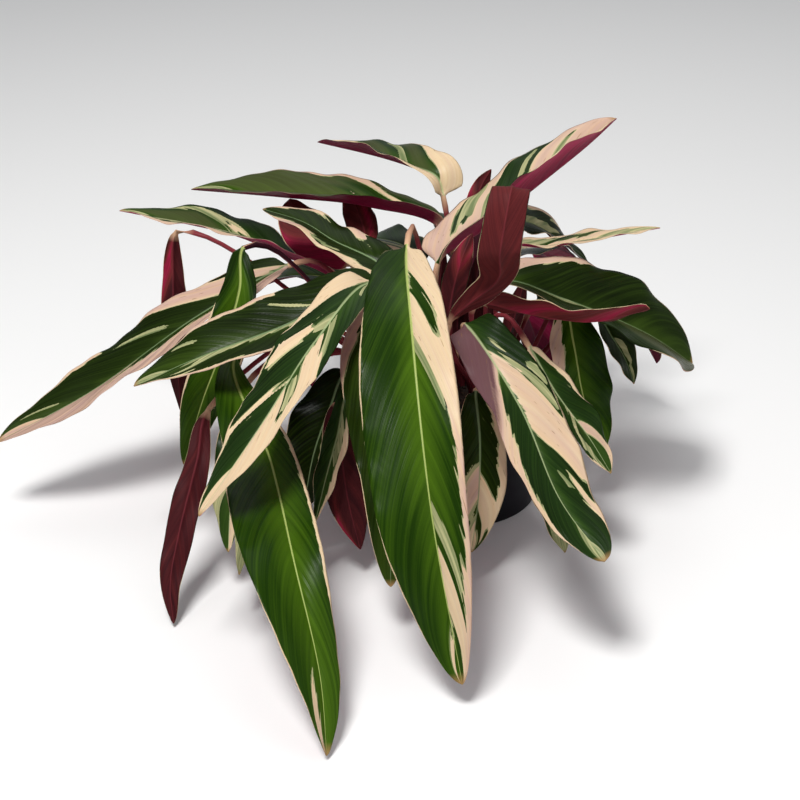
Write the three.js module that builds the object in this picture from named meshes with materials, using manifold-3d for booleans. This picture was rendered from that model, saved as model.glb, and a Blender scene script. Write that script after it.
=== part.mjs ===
// Potted variegated prayer plant: a nursery pot, its soil, and 42 long lance-shaped leaves.
// Millimetres, +Z up. The origin is the centre of the pot's base, on the surface that the pot stands on.
// -Y is the side that the plant is seen from.
import * as THREE from 'three';
import Module from 'manifold-3d';
import { mergeVertices } from 'three/addons/utils/BufferGeometryUtils.js';

const wasm = await Module();
wasm.setup();

// Pot
const POT_HEIGHT = 80;
const POT_BASE_RADIUS = 53;
const POT_TOP_RADIUS = 58;
const POT_WALL = 1.4;
const POT_FLOOR = 1.6;
const RIM_RADIUS = 59.5;
const RIM_DEPTH = 8;
const POT_SIDES = 40;
const DRAIN_HOLES = 8;
const DRAIN_RADIUS = 4.5;
const DRAIN_CIRCLE = 38;
const DRAIN_SIDES = 12;
const EDGE = 1.5;

// Soil
const SOIL_TOP = 69;
const SOIL_MOUND = 2;
const GAP = 0.35;
const STALK_DEPTH = 12;
const HOLE_RADIUS = 2.75;
const HOLE_SIDES = 8;

// Leaves
const BLADE_THICKNESS = 0.9;
const SHEATH_RADIUS = 2.1;
const STALK_RADIUS = 1.4;
const KNEE_RADIUS = 1.9;
const RIB_DEPTH = 1.5;
const RIB_TAPER = 0.8;
const WAVES_PER_LEAF = 3.2;
const WAVE_OFFSET = 1.9;
const TIP_HALF_WIDTH = 0.7;
const BLADE_START = 0.045;
const BLADE_STEP = 25;
const STALK_STEP = 24;
const FEWEST_BLADE_STEPS = 6;
const FEWEST_STALK_STEPS = 3;
const WIDE_BLADE = 30;
const LINE_DIVISIONS = 40;
const FOOT_RISE = 2;
const WELD_DISTANCE = 1e-4;

const COLOURS = {
  green: 0x3f6a24,
  dark: 0x24412a,
  cream: 0xd8c3a2,
  crimson: 0x7a2036,
  pot: 0x14121a,
  soil: 0x3a2c22,
};

const ROUGHNESS = { pot: 0.5, soil: 0.95, leaf: 0.4 };

// Each leaf: where its stalk stands in the soil, the points that the stalk bends through, the line of the
// midrib from the knee to the tip, the widest width, the compass heading in degrees (0 is +X, 90 is +Y), and
// what makes it its own: roll about the midrib at knee, middle and tip, how steeply its halves rise (fold),
// how much broader its left half is (skew), how full its base and tip are, and how deep its edge waves are.
const LEAVES = [
  { name: 'leaf_front_centre', tone: 'green', root: [-6, -14], bend: [[-28, -30, 190]],
    blade: [[-31, -43, 183], [-29, -116, 167], [-19, -193, 96], [-3, -229, 15]],
    width: 51, heading: 272, roll: [5, 13, 16], fold: 0.26, skew: 0.15, base: 0.41, tip: 0.64 },
  { name: 'leaf_front_centre_under', tone: 'dark', root: [-10, -28],
    blade: [[-44, -52, 151], [-53, -92, 136], [-41, -136, 85], [-40, -165, 32]],
    width: 34, heading: 268, roll: [-1, -11, -4], fold: 0.19, skew: 0.04, base: 0.45, tip: 0.62 },
  { name: 'leaf_front_left_long', tone: 'green', root: [-38, -8], bend: [[-56, -16, 100]],
    blade: [[-130, -52, 118], [-106, -125, 87], [-89, -200, 69], [-75, -242, 30], [-71, -270, 3]],
    width: 43, heading: 285, roll: [6, 6, -38], fold: 0.34, skew: 0.29, base: 0.68, tip: 0.58 },
  { name: 'leaf_front_left_cream', tone: 'cream', root: [-20, -20],
    blade: [[-51, -56, 165], [-81, -109, 153], [-106, -153, 128], [-138, -190, 92]],
    width: 35, heading: 225, roll: [-15, -1, 8], fold: 0.09, skew: 0.11, base: 0.2, tip: 0.69, wave: 1.5 },
  { name: 'leaf_front_right_broad', tone: 'cream', root: [12, -24],
    blade: [[2, -74, 147], [30, -124, 121], [49, -168, 89], [70, -200, 71]],
    width: 41, heading: 300, roll: [27, 1, 8], fold: 0.12, skew: -0.08, base: 0.2, tip: 0.47 },
  { name: 'leaf_front_right_shaded', tone: 'dark', root: [16, -34],
    blade: [[9, -66, 101], [11, -86, 80], [10, -102, 50], [6, -116, 23]], width: 31, heading: 275 },
  { name: 'leaf_front_left_narrow', tone: 'cream', root: [-16, -36],
    blade: [[-62, -78, 112], [-71, -95, 86], [-78, -107, 63], [-83, -118, 45]], width: 15, heading: 250 },
  { name: 'leaf_front_crimson', tone: 'crimson', root: [-24, -33], bend: [[-44, -52, 102]],
    blade: [[-69, -66, 96], [-69, -84, 73], [-65, -98, 47], [-58, -108, 20]], width: 26, heading: 90 },
  { name: 'leaf_front_left_dark', tone: 'dark', root: [-30, -21],
    blade: [[-66, -42, 103], [-77, -56, 84], [-86, -70, 62], [-92, -82, 32]], width: 40, heading: 250 },
  { name: 'leaf_front_left_crimson', tone: 'crimson', root: [-37, -20], bend: [[-82, -42, 130]],
    blade: [[-145, -75, 95], [-150, -102, 76], [-159, -130, 44], [-163, -147, 22], [-161, -158, 3]],
    width: 17, heading: 90, tip: 0.6 },
  { name: 'leaf_left_tip_a', tone: 'dark', root: [-34, -28], bend: [[-68, -52, 120]],
    blade: [[-115, -74, 101], [-119, -110, 73], [-121, -134, 51], [-124, -150, 30]], width: 16, heading: 260 },
  { name: 'leaf_left_tip_b', tone: 'cream', root: [-43, -15], bend: [[-80, -32, 122]],
    blade: [[-126, -50, 98], [-129, -84, 76], [-132, -108, 50], [-133, -122, 27]], width: 24, heading: 250 },

  { name: 'leaf_left_green', tone: 'dark', root: [-22, -8],
    blade: [[-48, -36, 158], [-100, -64, 143], [-146, -80, 131], [-186, -84, 114]],
    width: 40, heading: 190, roll: [-16, -23, -5], skew: 0.16, base: 0.48, tip: 0.66, wave: 1.2 },
  { name: 'leaf_left_long', tone: 'dark', root: [-31, 0], bend: [[-84, 8, 152]],
    blade: [[-103, 14, 148], [-159, 4, 119], [-225, -16, 77], [-282, -34, 51]],
    width: 46, heading: 190, roll: [-26, -11, -23], fold: 0.34, skew: -0.04, base: 0.46, tip: 0.7 },
  { name: 'leaf_left_hanging', tone: 'green', root: [-38, -3], bend: [[-111, 0, 164]],
    blade: [[-128, -8, 168], [-130, -24, 148], [-140, -36, 117], [-153, -44, 85], [-166, -52, 45]],
    width: 28, heading: 262, roll: [-10, -10, 0], fold: 0.3 },
  { name: 'leaf_left_crimson', tone: 'crimson', root: [-34, 10], bend: [[-136, 31, 149], [-160, 36, 160]],
    blade: [[-174, 38, 161], [-178, 34, 130], [-178, 28, 91], [-177, 20, 44]], width: 17, heading: 90 },
  { name: 'leaf_left_upper_dark', tone: 'dark', root: [-12, -4],
    blade: [[-41, -20, 157], [-76, 1, 170], [-93, 14, 176], [-119, 27, 180]],
    width: 37, heading: 160, roll: [-32, 1, -9], fold: 0.21, skew: -0.09, base: 0.2, tip: 0.75, wave: 1 },
  { name: 'leaf_back_left_long', tone: 'cream', root: [-22, 13],
    blade: [[-72, 20, 135], [-108, 38, 146], [-138, 53, 153], [-170, 71, 154], [-219, 91, 156]],
    width: 36, heading: 160, roll: [46, 6, 2], fold: 0.31, skew: 0.07, base: 0.46, tip: 0.79 },
  { name: 'leaf_back_left_dark', tone: 'green', root: [-6, 18],
    blade: [[-7, 24, 166], [-54, 47, 175], [-108, 64, 175], [-170, 84, 173]],
    width: 44, heading: 165, roll: [32, 2, 4], fold: 0.45, skew: 0.05, base: 0.37, tip: 0.79, wave: 1 },
  { name: 'leaf_back_crimson', tone: 'crimson', root: [-18, 20],
    blade: [[-65, 25, 144], [-87, 43, 154], [-100, 55, 164], [-105, 65, 173]],
    width: 33, heading: 270, tip: 0.5 },
  { name: 'leaf_top_crimson', tone: 'crimson', root: [-2, 24],
    blade: [[-54, 40, 147], [-58, 50, 159], [-63, 60, 169], [-69, 71, 178]], width: 20, heading: 270 },

  { name: 'leaf_top_small', tone: 'cream', root: [8, 18],
    blade: [[-8, 50, 180], [-12, 54, 191], [-27, 64, 195], [-48, 82, 196], [-89, 112, 196]],
    width: 32, heading: 150, roll: [-30, 14, 16], fold: 0.45, skew: 0.24, base: 0.22, wave: 1 },
  { name: 'leaf_top_right_cream', tone: 'cream', root: [4, 4],
    blade: [[-13, -22, 163], [12, 8, 172], [43, 36, 187], [84, 70, 208], [102, 84, 220]],
    width: 50, heading: 36, roll: [-14, -24, -8], fold: 0.62, base: 0.3, tip: 0.64, wave: 1.5 },
  { name: 'leaf_front_erect_crimson', tone: 'crimson', root: [10, -8],
    blade: [[-7, -62, 143], [19, -73, 175], [19, -86, 196], [25, -74, 227], [29, -40, 209]],
    width: 24, heading: 270, roll: [-2, 9, 3], fold: 0.08, base: 0.74, tip: 0.41, wave: 0.6 },
  { name: 'leaf_centre_crimson', tone: 'crimson', root: [0, -4],
    blade: [[-6, -34, 132], [-4, -36, 153], [1, -34, 172], [7, -26, 184]], width: 15, heading: 270, wave: 1 },
  { name: 'leaf_centre_back_crimson', tone: 'crimson', root: [14, 8],
    blade: [[8, 40, 164], [12, 50, 176], [17, 56, 187], [22, 58, 195]], width: 12, heading: 270, wave: 1 },

  { name: 'leaf_right_broad', tone: 'dark', root: [30, 0],
    blade: [[26, -24, 152], [63, -23, 141], [114, -16, 116], [147, -2, 89]],
    width: 70, heading: 350, roll: [6, 6, 10], fold: 0.34, skew: 0.01, base: 0.39, tip: 0.65 },
  { name: 'leaf_right_crimson', tone: 'crimson', root: [22, -12],
    blade: [[9, -55, 152], [42, -65, 150], [74, -70, 148], [105, -73, 157]],
    width: 28, heading: 350, roll: [-68, -38, -47], fold: 0.2, skew: 0.06, base: 0.36, tip: 0.42, wave: 1 },
  { name: 'leaf_right_thin', tone: 'cream', root: [18, 6],
    blade: [[24, 0, 164], [56, 14, 161], [91, 24, 163], [126, 32, 166]],
    width: 27, heading: 15, roll: [-9, -9, -9], wave: 1 },
  { name: 'leaf_right_back_dark', tone: 'dark', root: [24, 16],
    blade: [[21, 34, 164], [43, 54, 162], [64, 66, 148], [89, 68, 126]],
    width: 40, heading: 20, roll: [12, 14, 8] },
  { name: 'leaf_right_hanging', tone: 'green', root: [36, -8],
    blade: [[64, 0, 131], [71, -14, 107], [78, -24, 75], [92, -30, 44]], width: 38, heading: 290 },
  { name: 'leaf_right_small_dark', tone: 'dark', root: [38, 6],
    blade: [[85, 16, 116], [98, 14, 100], [107, 10, 86], [113, 6, 71]], width: 24, heading: 320, wave: 1 },
  { name: 'leaf_right_variegated', tone: 'cream', root: [28, -20], bend: [[20, -34, 134], [28, -44, 139]],
    blade: [[40, -52, 124], [55, -70, 103], [73, -86, 83], [86, -98, 65]], width: 28, heading: 310 },
  { name: 'leaf_front_right_tip', tone: 'dark', root: [24, -32], bend: [[30, -60, 104]],
    blade: [[38, -90, 89], [45, -108, 70], [52, -122, 52], [58, -132, 33]], width: 20, heading: 290 },

  { name: 'leaf_rear_1', tone: 'cream', root: [14, 24],
    blade: [[22, 46, 130], [48, 94, 128], [72, 138, 102], [90, 172, 58]], width: 46, heading: 58 },
  { name: 'leaf_rear_2', tone: 'green', root: [4, 28],
    blade: [[6, 50, 148], [8, 100, 146], [12, 150, 118], [14, 190, 70]], width: 50, heading: 88 },
  { name: 'leaf_rear_3', tone: 'cream', root: [-8, 28],
    blade: [[-20, 50, 134], [-48, 96, 134], [-76, 140, 106], [-96, 174, 60]], width: 46, heading: 122 },
  { name: 'leaf_rear_4', tone: 'green', root: [-22, 24],
    blade: [[-52, 40, 116], [-98, 72, 118], [-142, 102, 90], [-174, 124, 46]], width: 44, heading: 147 },
  { name: 'leaf_rear_5', tone: 'dark', root: [33, 20],
    blade: [[52, 32, 116], [94, 60, 112], [124, 84, 84], [144, 102, 40]], width: 42, heading: 35 },
  { name: 'leaf_rear_6', tone: 'dark', root: [-2, 34],
    blade: [[-6, 60, 108], [-12, 98, 104], [-18, 130, 72], [-22, 146, 24]], width: 40, heading: 98 },
  { name: 'leaf_rear_7', tone: 'green', root: [16, 32],
    blade: [[28, 58, 100], [46, 90, 90], [60, 112, 56], [68, 124, 16]], width: 36, heading: 58 },
  { name: 'leaf_rear_8', tone: 'cream', root: [-20, 32],
    blade: [[-46, 56, 102], [-70, 86, 90], [-88, 108, 56], [-98, 118, 14]], width: 36, heading: 128 },
];

const LEAF_DEFAULTS = { bend: [], roll: [0, 0, 0], fold: 0.18, skew: 0, base: 0.5, tip: 0.74, wave: 2 };

const point = ([x, y, z]) => new THREE.Vector3(x, y, z);

function material(colour, roughness) {
  return new THREE.MeshStandardMaterial({ color: colour, roughness, metalness: 0 });
}

// A smooth line through the stalk's and the midrib's points, and how far along it the knee is.
function leafLine(leaf) {
  const foot = new THREE.Vector3(leaf.root[0], leaf.root[1], SOIL_TOP + SOIL_MOUND + FOOT_RISE);
  const stalk = [foot, ...leaf.bend.map(point)];
  const points = [...stalk, ...leaf.blade.map(point)];
  const curve = new THREE.CatmullRomCurve3(points, false, 'centripetal');
  const divisions = LINE_DIVISIONS * (points.length - 1);
  curve.arcLengthDivisions = divisions;
  const lengths = curve.getLengths(divisions);
  return { curve, total: lengths[divisions], knee: lengths[LINE_DIVISIONS * stalk.length] };
}

// The leaf's own axes at a place on its line: across to its right, and up out of its upper face.
function axes(leaf, tangent, s) {
  const heading = THREE.MathUtils.degToRad(leaf.heading);
  const across = new THREE.Vector3(-Math.sin(heading), Math.cos(heading), 0);
  across.addScaledVector(tangent, -across.dot(tangent)).normalize();
  const up = new THREE.Vector3().crossVectors(tangent, across);
  const [knee, middle, tip] = leaf.roll;
  const degrees = knee * (1 - s) * (1 - 2 * s) + middle * 4 * s * (1 - s) + tip * s * (2 * s - 1);
  const roll = THREE.MathUtils.degToRad(degrees);
  return {
    across: across.clone().multiplyScalar(Math.cos(roll)).addScaledVector(up, Math.sin(roll)),
    up: up.clone().multiplyScalar(Math.cos(roll)).addScaledVector(across, -Math.sin(roll)),
  };
}

// Half of the blade's width, rounded at the base and pointed at the tip.
function halfWidth(leaf, s) {
  const fullness = leaf.base + (leaf.tip - leaf.base) * s;
  return (leaf.width / 2) * Math.pow(Math.sin(Math.PI * Math.min(s, 1)), fullness);
}

// How far the upper face rises above the midrib, v running from -1 at the left edge to 1 at the right.
function rise(leaf, s, v, width) {
  const phase = v > 0 ? WAVE_OFFSET : 0;
  const wave = Math.sin(2 * Math.PI * WAVES_PER_LEAF * s + phase) * Math.sqrt(Math.sin(Math.PI * s));
  return width * leaf.fold * Math.abs(v) + leaf.wave * v * v * wave;
}

// One ring of the stalk: as many points as a ring of the blade has, evenly round a circle.
function stalkRing(centre, across, up, radius, spans) {
  const ring = [];
  const count = 2 * (spans + 1);
  for (let k = 0; k < count; k += 1) {
    const angle = Math.PI - (Math.PI * 2 * (k + 0.5)) / count;
    ring.push(centre.clone()
      .addScaledVector(across, radius * Math.cos(angle))
      .addScaledVector(up, radius * Math.sin(angle)));
  }
  return ring;
}

// One ring of the blade: the upper face from left to right, then the lower face from right to left, with
// the midrib standing out below.
function bladeRing(leaf, centre, across, up, s, spans) {
  const upper = [];
  const lower = [];
  const middle = spans / 2;
  for (let j = 0; j <= spans; j += 1) {
    const v = -1 + (2 * j) / spans;
    const width = Math.max(halfWidth(leaf, s), TIP_HALF_WIDTH) * (1 - leaf.skew * Math.sign(v));
    const height = s < 1 ? rise(leaf, s, v, width) : 0;
    const rib = j === middle ? RIB_DEPTH * (1 - RIB_TAPER * s) : 0;
    const base = centre.clone().addScaledVector(across, width * v);
    upper.push(base.clone().addScaledVector(up, height + BLADE_THICKNESS / 2));
    lower.unshift(base.clone().addScaledVector(up, height - BLADE_THICKNESS / 2 - rib));
  }
  return [...upper, ...lower];
}

// Joins rings into one closed body. Both faces of the blade are split along the same diagonals.
function skin(rings, spans) {
  const count = rings[0].length;
  const positions = rings.flat().flatMap((p) => [p.x, p.y, p.z]);
  const index = [];
  const quad = (a, b, c, d, flipped) => {
    if (flipped) {
      index.push(a, d, b, b, d, c);
    } else {
      index.push(a, c, b, a, d, c);
    }
  };
  for (let i = 0; i + 1 < rings.length; i += 1) {
    for (let k = 0; k < count; k += 1) {
      const next = (k + 1) % count;
      const a = i * count + k;
      const b = i * count + next;
      quad(a, b, b + count, a + count, k > spans);
    }
  }
  const last = (rings.length - 1) * count;
  for (let j = 0; j < spans; j += 1) {
    const far = count - 1 - j;
    quad(far, far - 1, j + 1, j, false);
    quad(last + j, last + j + 1, last + far - 1, last + far, false);
  }
  const geometry = new THREE.BufferGeometry();
  geometry.setAttribute('position', new THREE.Float32BufferAttribute(positions, 3));
  geometry.setIndex(index);
  geometry.computeVertexNormals();
  return geometry;
}

// A stalk that stands straight in the soil, bends up and out to its knee, and runs on as the midrib.
function leafGeometry(leaf) {
  const { curve, total, knee } = leafLine(leaf);
  const spans = leaf.width >= WIDE_BLADE ? 4 : 2;
  const rings = [];
  const [x, y] = leaf.root;
  const first = axes(leaf, curve.getTangentAt(0), 0);
  const side = new THREE.Vector3(first.across.x, first.across.y, 0).normalize();
  const ahead = new THREE.Vector3(-side.y, side.x, 0);
  for (const z of [SOIL_TOP - STALK_DEPTH, SOIL_TOP + SOIL_MOUND + FOOT_RISE / 2]) {
    rings.push(stalkRing(new THREE.Vector3(x, y, z), side, ahead, SHEATH_RADIUS, spans));
  }
  const stalkSteps = Math.max(FEWEST_STALK_STEPS, Math.round(knee / STALK_STEP));
  for (let i = 1; i <= stalkSteps; i += 1) {
    const u = (knee / total) * (i / stalkSteps);
    const { across, up } = axes(leaf, curve.getTangentAt(u), 0);
    const taper = SHEATH_RADIUS + (STALK_RADIUS - SHEATH_RADIUS) * (i / stalkSteps);
    const radius = i === stalkSteps ? KNEE_RADIUS : taper;
    rings.push(stalkRing(curve.getPointAt(u), across, up, radius, spans));
  }
  const bladeLength = total - knee;
  const steps = Math.max(FEWEST_BLADE_STEPS, Math.round(bladeLength / BLADE_STEP));
  for (let i = 0; i <= steps; i += 1) {
    const s = i === 0 ? BLADE_START : i / steps;
    const u = Math.min((knee + bladeLength * s) / total, 1);
    const { across, up } = axes(leaf, curve.getTangentAt(u), s);
    rings.push(bladeRing(leaf, curve.getPointAt(u), across, up, s, spans));
  }
  return skin(rings, spans);
}

function toSolid(geometry) {
  const plain = geometry.clone();
  plain.deleteAttribute('normal');
  plain.deleteAttribute('uv');
  const merged = mergeVertices(plain, WELD_DISTANCE);
  return new wasm.Manifold(new wasm.Mesh({
    numProp: 3,
    vertProperties: new Float32Array(merged.attributes.position.array),
    triVerts: new Uint32Array(merged.index.array),
  }));
}

function toGeometry(solid) {
  const mesh = solid.getMesh();
  const geometry = new THREE.BufferGeometry();
  geometry.setAttribute('position', new THREE.BufferAttribute(new Float32Array(mesh.vertProperties), 3));
  geometry.setIndex(new THREE.BufferAttribute(new Uint32Array(mesh.triVerts), 1));
  geometry.computeVertexNormals();
  return geometry;
}

// A profile of [radius, height] pairs turned about the pot's upright axis.
function turned(profile, sides) {
  const points = profile.map(([r, z]) => new THREE.Vector2(r, z));
  return new THREE.LatheGeometry(points, sides).rotateX(Math.PI / 2);
}

function upright(radius, height, sides, x, y, z) {
  const geometry = new THREE.CylinderGeometry(radius, radius, height, sides);
  return geometry.rotateX(Math.PI / 2).translate(x, y, z);
}

// The thin moulded pot: a tapered wall with a turned-down rim, and drain holes round a solid centre.
function potGeometry() {
  const inner = POT_TOP_RADIUS - POT_WALL;
  const rimBottom = POT_HEIGHT - RIM_DEPTH;
  const taper = (POT_TOP_RADIUS - POT_BASE_RADIUS) / POT_HEIGHT;
  const neckRadius = POT_TOP_RADIUS - taper * RIM_DEPTH;
  const profile = [
    [0, 0], [POT_BASE_RADIUS - EDGE, 0], [POT_BASE_RADIUS, EDGE],
    [neckRadius, rimBottom], [RIM_RADIUS, rimBottom + EDGE / 2],
    [RIM_RADIUS + EDGE / 2, POT_HEIGHT - EDGE], [RIM_RADIUS, POT_HEIGHT],
    [inner + EDGE / 2, POT_HEIGHT], [inner, POT_HEIGHT - EDGE],
    [POT_BASE_RADIUS - POT_WALL, POT_FLOOR], [0, POT_FLOOR],
  ];
  let pot = toSolid(turned(profile, POT_SIDES));
  for (let k = 0; k < DRAIN_HOLES; k += 1) {
    const angle = (2 * Math.PI * (k + 0.5)) / DRAIN_HOLES;
    const x = DRAIN_CIRCLE * Math.cos(angle);
    const y = DRAIN_CIRCLE * Math.sin(angle);
    pot = pot.subtract(toSolid(upright(DRAIN_RADIUS, 3 * POT_FLOOR, DRAIN_SIDES, x, y, 0)));
  }
  return toGeometry(pot);
}

// Soil that fills the pot to a low mound, with a plain blind hole for each stalk.
function soilGeometry() {
  const taper = (POT_TOP_RADIUS - POT_BASE_RADIUS) / POT_HEIGHT;
  const side = (z) => POT_BASE_RADIUS - POT_WALL + taper * z - 2 * GAP;
  const bottom = POT_FLOOR + GAP;
  const profile = [
    [0, bottom], [side(bottom), bottom], [side(SOIL_TOP), SOIL_TOP - EDGE],
    [side(SOIL_TOP) - 4 * EDGE, SOIL_TOP], [side(SOIL_TOP) / 2, SOIL_TOP + SOIL_MOUND * 0.7],
    [0, SOIL_TOP + SOIL_MOUND],
  ];
  let soil = toSolid(turned(profile, POT_SIDES));
  const bored = STALK_DEPTH + 4 * SOIL_MOUND;
  const centre = SOIL_TOP - STALK_DEPTH - GAP + bored / 2;
  for (const leaf of LEAVES) {
    const [x, y] = leaf.root;
    soil = soil.subtract(toSolid(upright(HOLE_RADIUS, bored, HOLE_SIDES, x, y, centre)));
  }
  return toGeometry(soil);
}

const plant = new THREE.Group();

function add(name, geometry, colour, roughness) {
  const mesh = new THREE.Mesh(geometry, material(colour, roughness));
  mesh.name = name;
  plant.add(mesh);
}

add('pot', potGeometry(), COLOURS.pot, ROUGHNESS.pot);
add('soil', soilGeometry(), COLOURS.soil, ROUGHNESS.soil);
for (const row of LEAVES) {
  const leaf = { ...LEAF_DEFAULTS, ...row };
  add(leaf.name, leafGeometry(leaf), COLOURS[leaf.tone], ROUGHNESS.leaf);
}

export default plant;
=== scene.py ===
# %% [markdown]
# # A potted variegated prayer plant
#
# This notebook dresses a finished model of a houseplant: 42 long leaves with their stalks, the potting mix
# that they stand in, and a nursery pot. The imported model already has every piece at its real size and place.
# Here each plain solid is replaced by a finer mesh that keeps its form, and gets a material.
#
# The first lines load that model.

# %% Load the frame
import math
import random
from dataclasses import dataclass
from functools import partial
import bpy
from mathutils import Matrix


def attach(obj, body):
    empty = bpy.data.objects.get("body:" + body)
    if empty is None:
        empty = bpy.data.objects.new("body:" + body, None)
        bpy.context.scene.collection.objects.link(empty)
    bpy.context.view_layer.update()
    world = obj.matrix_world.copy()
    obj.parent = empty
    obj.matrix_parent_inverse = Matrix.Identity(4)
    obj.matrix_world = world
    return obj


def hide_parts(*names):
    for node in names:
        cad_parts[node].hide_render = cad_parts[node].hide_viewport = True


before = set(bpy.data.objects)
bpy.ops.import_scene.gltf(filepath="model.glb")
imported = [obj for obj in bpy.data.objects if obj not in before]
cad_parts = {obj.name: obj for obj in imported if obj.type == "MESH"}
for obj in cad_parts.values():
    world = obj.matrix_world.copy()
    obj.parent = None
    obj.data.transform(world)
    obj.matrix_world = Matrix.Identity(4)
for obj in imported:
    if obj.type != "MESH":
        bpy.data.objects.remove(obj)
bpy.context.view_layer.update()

from types import SimpleNamespace

import bmesh
import bpy
import numpy as np
from mathutils import Matrix, Vector, noise

MM = 0.001
print("pieces in the frame:", len(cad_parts))

# %% [markdown]
# ## The camera
#
# The plant is seen from the front and from above. The camera could be aimed by a constraint, but a fixed
# place and tilt are easier to read: it stands 0.87 m away, half a metre up, and looks down by 26.8 degrees.
# A lens of 69 mm is a mild telephoto, which is how a phone shows a plant on a shelf from one step away.

# %% Camera
camera_data = bpy.data.cameras.new("camera")
camera_data.lens = 69.2
camera_data.sensor_width = 36.0
camera = bpy.data.objects.new("camera", camera_data)
camera.location = (-0.035, -0.866, 0.500)
camera.rotation_euler = (math.radians(90 - 26.8), 0, 0)
bpy.context.scene.collection.objects.link(camera)
bpy.context.scene.camera = camera
print("camera", tuple(camera.location))

# %% [markdown]
# ## Colours and nodes
#
# Two helpers serve every material. One turns a colour written as a web hex value, which is sRGB, into the
# linear numbers that shaders work with. The other adds one shader node with its settings and its links, so
# that a material reads as a list of steps instead of a page of assignments.

# %% Colour and node helpers
def colour(hex_value, alpha=1.0):
    """A linear RGBA colour from an sRGB hex string such as "3f6a24"."""
    channels = [int(hex_value[i:i + 2], 16) / 255 for i in (0, 2, 4)]
    linear = [c / 12.92 if c <= 0.04045 else ((c + 0.055) / 1.055) ** 2.4 for c in channels]
    return (*linear, alpha)


def add(tree, kind, *values, links=None, **settings):
    """Adds one node. Settings are its properties. Values fill its inputs in order, None skips one, and
    links fills inputs by name. A node or a socket is linked, and anything else is set."""
    node = tree.nodes.new("ShaderNode" + kind)
    for name, value in settings.items():
        setattr(node, name, value)
    pairs = [(i, v) for i, v in enumerate(values) if v is not None] + list((links or {}).items())
    for key, value in pairs:
        if isinstance(value, bpy.types.Node):
            value = value.outputs[0]
        if isinstance(value, bpy.types.NodeSocket):
            tree.links.new(value, node.inputs[key])
        else:
            node.inputs[key].default_value = value
    return node


def new_material(name):
    """An empty node material, and its tree."""
    material = bpy.data.materials.new(name)
    material.use_nodes = True
    material.node_tree.nodes.clear()
    return material, material.node_tree


print("a leaf green in linear light:", [round(channel, 3) for channel in colour("3f6a24")])

# %% [markdown]
# ## From bmesh to piece
#
# Every mesh here is built in a bmesh, which is a mesh that can be edited, and ends as an object at the origin.
# A piece of the plant also says which body it rides on and which imported solid it stands for. Its normals are
# recalculated, so that all faces point outwards, and its faces are shaded smooth.

# %% Object helpers
def new_object(bm, name, *materials):
    """An object with the faces of a bmesh, which is freed."""
    mesh = bpy.data.meshes.new(name)
    bm.to_mesh(mesh)
    bm.free()
    for material in materials:
        mesh.materials.append(material)
    made = bpy.data.objects.new(name, mesh)
    bpy.context.scene.collection.objects.link(made)
    return made


def finish_piece(bm, name, material, slot, *nodes):
    """Turns a bmesh into a smooth piece on the plant's one body. It stands for the CAD nodes it is given."""
    bmesh.ops.recalc_face_normals(bm, faces=bm.faces)
    for face in bm.faces:
        face.smooth = True
    piece = new_object(bm, name, material)
    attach(piece, "root")
    if nodes:
        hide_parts(*nodes)
    return piece


print("solids to dress:", ", ".join(sorted(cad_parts)[:4]), "and so on")

# %% [markdown]
# ## The leaves: one row each
#
# A leaf of this plant is one blade on one stalk, and no two are alike. Each could be sculpted by hand, but 42
# sculpted meshes are slow to change. So a leaf is a row of plain facts, in millimetres: its tone, where its
# stalk stands in the soil, its widest width, its compass heading, and the line of its midrib from the knee,
# where the blade starts, to the tip. Where a leaf needs it, the row also says which points the stalk bends
# through, how the blade rolls at the knee, in the middle and at the tip, how it folds, how uneven its halves
# are, how full its two ends are, and how high its edge waves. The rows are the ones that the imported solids
# were made from, so the finer leaves land exactly on them.

# %% Leaf rows
@dataclass
class Leaf:
    """One leaf: millimetres, degrees, and shares of the blade."""
    name: str
    tone: str
    root: tuple
    width: float
    heading: float
    blade: list
    bend: tuple = ()
    roll: tuple = (0, 0, 0)
    fold: float = 0.18
    skew: float = 0
    base: float = 0.5
    tip: float = 0.74
    wave: float = 2


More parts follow.
